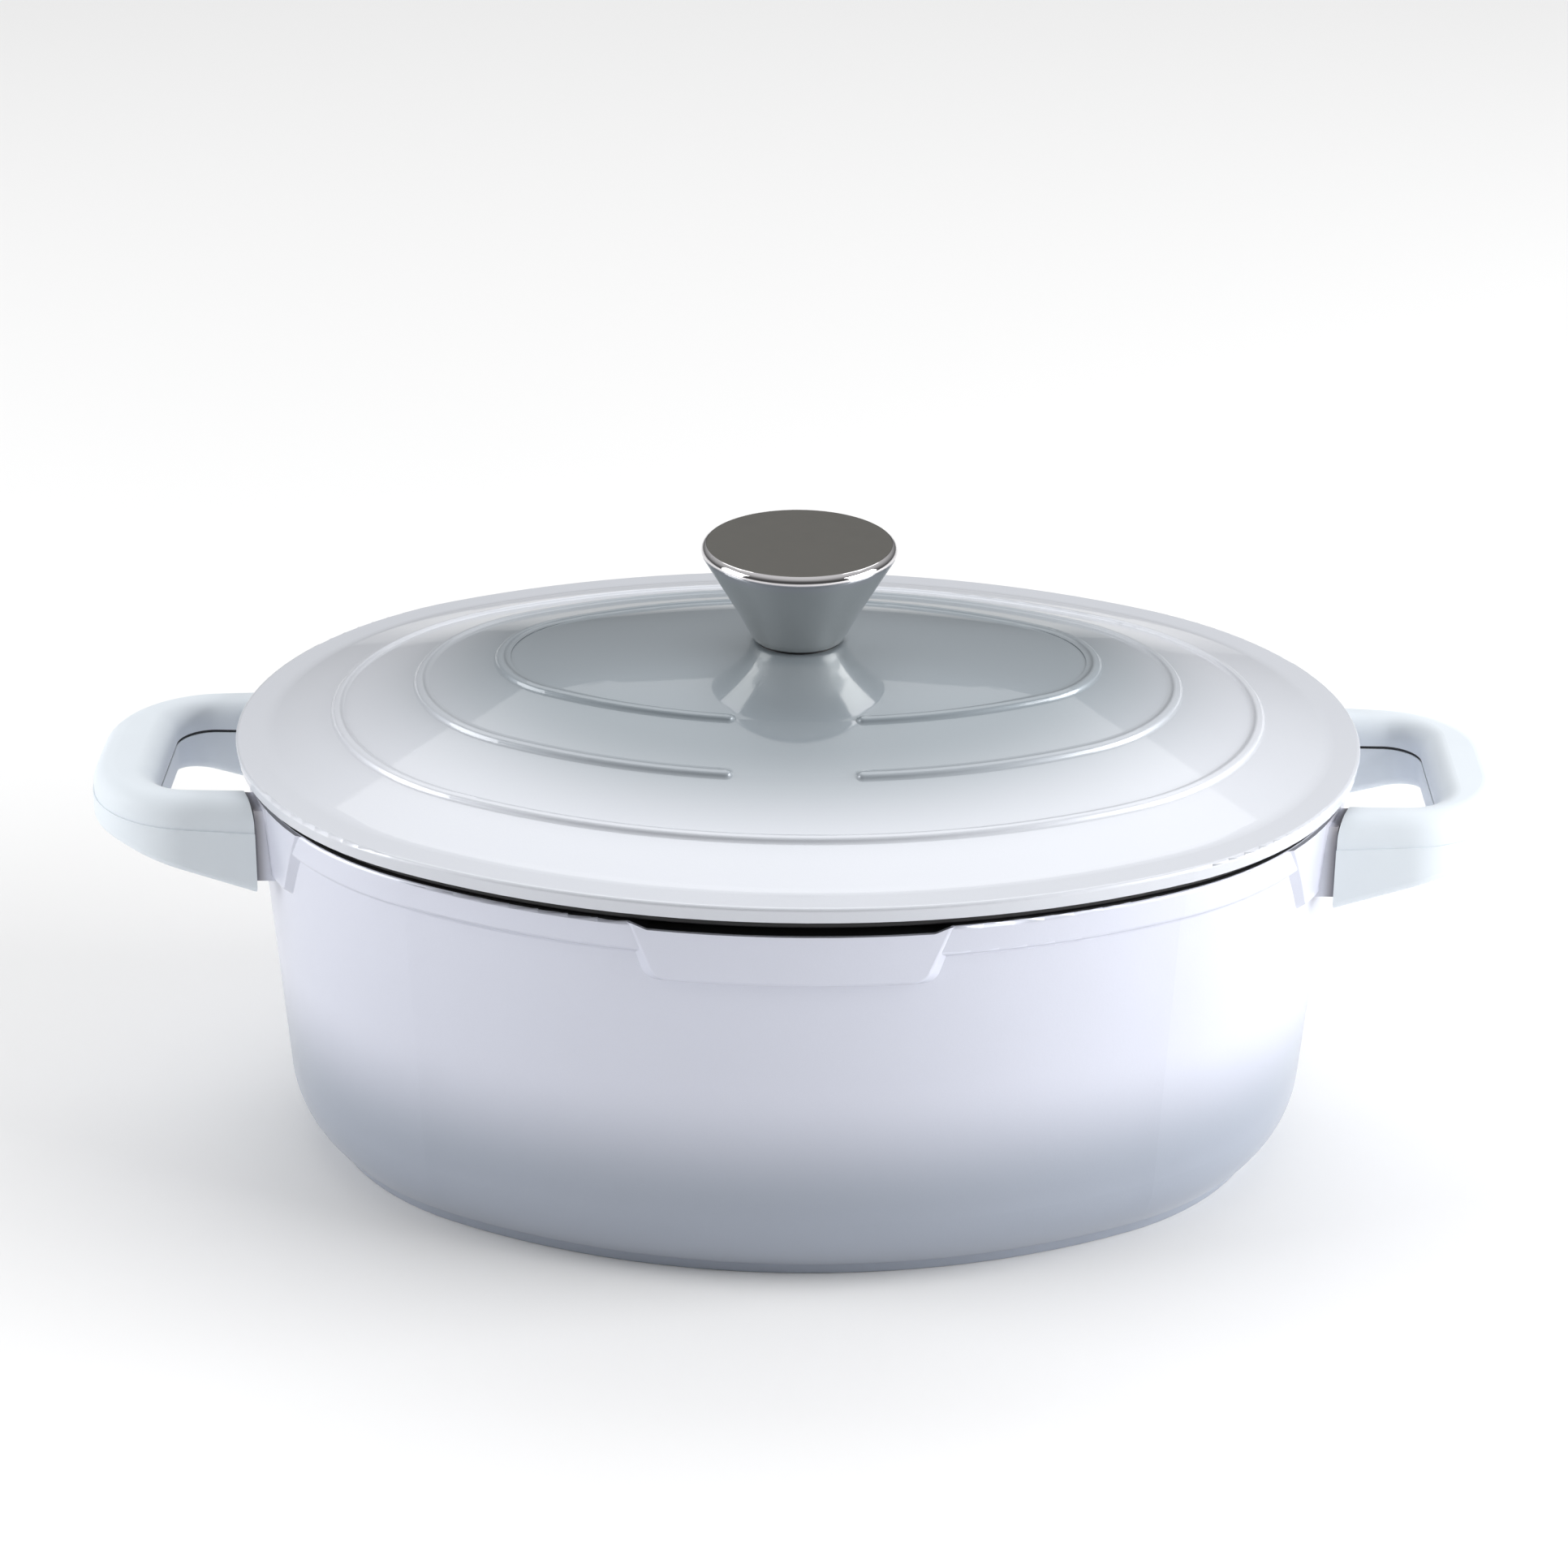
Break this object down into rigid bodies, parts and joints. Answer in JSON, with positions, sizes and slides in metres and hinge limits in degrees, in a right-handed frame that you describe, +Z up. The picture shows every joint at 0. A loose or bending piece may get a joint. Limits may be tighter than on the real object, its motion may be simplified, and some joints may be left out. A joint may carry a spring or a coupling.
{
  "type": "oval casserole",
  "caption": "Low oval casserole with a domed lift-off lid, a flared metal knob and loop handles with soft split grips, for slow cooking on a hob or in an oven.",
  "frame": {"origin": "centre of the base, on the surface that the pot stands on", "axes": "+Z up, +X along the pot's length through the handles, -Y towards the front panel"},
  "size_m": [0.4036, 0.2404, 0.1798],
  "materials": {
    "coated_aluminium": "satin",
    "base_steel": "satin",
    "black_silicone": "satin",
    "core_plastic": "matte",
    "soft_grip": "matte",
    "polished_steel": "polished",
    "brushed_cap": "satin",
    "fastener_steel": "satin"
  },
  "bodies": {
    "pot": {"pot_casting": "coated_aluminium", "base_disc": "base_steel", "right_handle_core": "core_plastic", "right_grip_upper": "soft_grip", "right_grip_lower": "soft_grip", "right_grip_screws": "fastener_steel", "right_grip_washers": "fastener_steel", "left_handle_core": "core_plastic", "left_grip_upper": "soft_grip", "left_grip_lower": "soft_grip", "left_grip_screws": "fastener_steel", "left_grip_washers": "fastener_steel"},
    "lid": {"lid_casting": "coated_aluminium", "lid_gasket": "black_silicone", "knob_shell": "polished_steel", "knob_cap": "brushed_cap", "knob_insert": "fastener_steel", "knob_seal": "black_silicone", "knob_washer": "fastener_steel", "knob_screw": "fastener_steel"}
  },
  "joints": [
    {"name": "lid_lift", "type": "slide", "parent": "pot", "child": "lid", "axis": [0, 0, 1], "range_m": [0, 0.15]}
  ]
}
